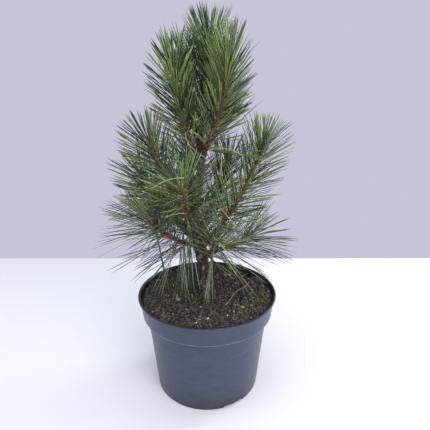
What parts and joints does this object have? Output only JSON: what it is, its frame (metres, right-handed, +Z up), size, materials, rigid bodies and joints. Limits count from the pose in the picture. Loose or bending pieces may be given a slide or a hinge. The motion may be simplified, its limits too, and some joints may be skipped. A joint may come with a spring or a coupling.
{
  "type": "potted austrian pine",
  "caption": "Young dwarf Austrian pine with upright shoots in dense needles on a bent trunk, growing in soil in a round plastic nursery pot.",
  "frame": {"origin": "middle of the pot's flat underside, on the surface that it stands on", "axes": "+Z up along the pot's axis, -Y towards the viewer of the picture, +X to the viewer's right"},
  "size_m": [0.3165, 0.2945, 0.6064],
  "materials": {
    "pot_plastic": "satin black moulded plastic with a faint bluish sheen",
    "soil": "moist peat with bark chips and a few white grains",
    "bark": "rough flaking grey-brown bark",
    "shoot_bark": "scaly orange-brown young bark",
    "needles": "stiff waxy green needles, some with yellow tips"
  },
  "bodies": {
    "root": {"bough_leader": "shoot_bark", "bough_low_back": "shoot_bark", "bough_low_back_left": "shoot_bark", "bough_low_front": "shoot_bark", "bough_low_left": "shoot_bark", "bough_low_right": "shoot_bark", "bough_middle_back": "shoot_bark", "bough_middle_back_right": "shoot_bark", "bough_middle_front": "shoot_bark", "bough_middle_left": "shoot_bark", "bough_middle_left_front": "shoot_bark", "bough_middle_right": "shoot_bark", "bough_top_back_left": "shoot_bark", "bough_top_back_right": "shoot_bark", "bough_top_front": "shoot_bark", "bough_top_left": "shoot_bark", "needles_leader": "needles", "needles_low_back": "needles", "needles_low_back_left": "needles", "needles_low_front": "needles", "needles_low_left": "needles", "needles_low_right": "needles", "needles_middle_back": "needles", "needles_middle_back_right": "needles", "needles_middle_front": "needles", "needles_middle_left": "needles", "needles_middle_left_front": "needles", "needles_middle_right": "needles", "needles_top_back_left": "needles", "needles_top_back_right": "needles", "needles_top_front": "needles", "needles_top_left": "needles", "pot": "pot_plastic", "soil": "soil", "trunk": "bark"}
  },
  "joints": []
}
